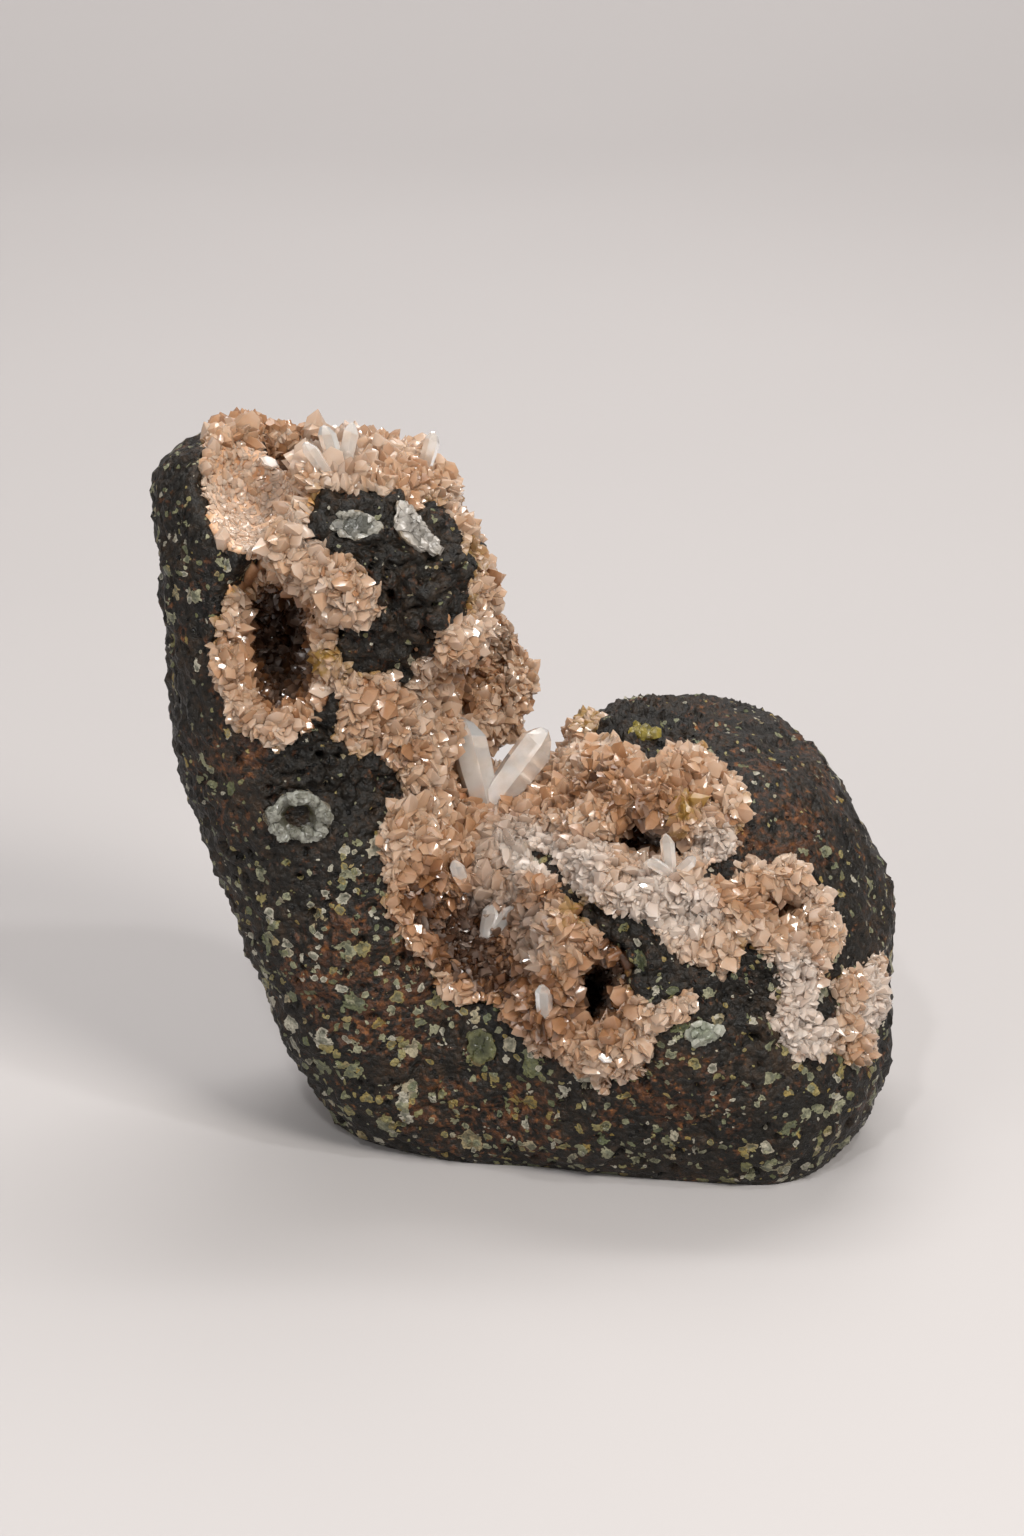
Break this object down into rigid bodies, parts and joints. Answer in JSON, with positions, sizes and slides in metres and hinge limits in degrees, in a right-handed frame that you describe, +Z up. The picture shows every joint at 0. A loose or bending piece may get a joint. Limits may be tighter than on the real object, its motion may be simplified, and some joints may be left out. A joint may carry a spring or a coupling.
{
  "type": "heulandite cluster",
  "caption": "Hand specimen of dark vesicular basalt, bent round an open saddle and lined with peach heulandite crystals and clear prisms.",
  "frame": {"origin": "middle of the object's box at the surface it stands on", "axes": "+Z up; the broken, crystal-lined face looks along -Y; the tall tower stands at -X and the hump at +X"},
  "size_m": [0.1186, 0.0703, 0.119],
  "materials": {
    "basalt": "rough near-black vesicular rock with rusty stains and inlaid pale amygdales",
    "heulandite": "translucent peach crystal crust with glossy cleavage faces",
    "clear_crystal": "clear to slightly milky prismatic crystal, see-through",
    "ring_nodule": "pale grey-green banded zeolite, dull rim, waxy middle",
    "cap_white_nodule": "white zeolite, waxy",
    "cap_grey_nodule": "grey-green glassy zeolite",
    "green_nodule": "green earthy amygdale",
    "white_nodule": "white zeolite, waxy",
    "yellow_nodule": "ochre-yellow amygdale"
  },
  "bodies": {
    "root": {"basalt": "basalt", "heulandite_crust": "heulandite", "clear_prisms": "clear_crystal", "ring_nodule": "ring_nodule", "cap_white_nodule": "cap_white_nodule", "cap_grey_nodule": "cap_grey_nodule", "green_nodule": "green_nodule", "white_nodule": "white_nodule", "yellow_nodule": "yellow_nodule"}
  },
  "joints": []
}
